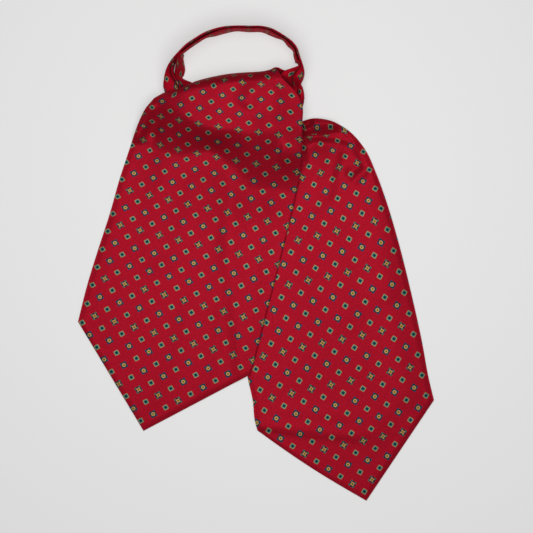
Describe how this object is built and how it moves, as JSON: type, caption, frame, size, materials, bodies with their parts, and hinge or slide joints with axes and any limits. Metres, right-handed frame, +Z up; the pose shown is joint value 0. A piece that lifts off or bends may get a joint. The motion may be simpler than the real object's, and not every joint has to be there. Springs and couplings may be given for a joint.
{
  "type": "silk cravat",
  "caption": "Day cravat of printed red silk, tied in a half knot and laid flat: pointed front blade over a back blade, gathered into a pleated neckband that stands in a loop.",
  "frame": {"origin": "on the table, below the middle of the whole cravat's bounding box", "axes": "+Z up from the table; +Y from the blades' points towards the neck loop; +X from the front blade towards the back blade"},
  "size_m": [0.3064, 0.4075, 0.0398],
  "materials": {
    "blade_silk": "red silk twill with a small printed repeat, soft sheen",
    "gathered_silk": "the same silk gathered into folds, soft sheen",
    "band_silk": "the same silk pressed and stitched in narrow pleats"
  },
  "bodies": {
    "root": {"front_blade": "blade_silk", "back_blade": "blade_silk", "front_turn": "gathered_silk", "crossing": "gathered_silk", "neckband": "band_silk", "gather_left": "gathered_silk", "gather_right": "gathered_silk"}
  },
  "joints": []
}
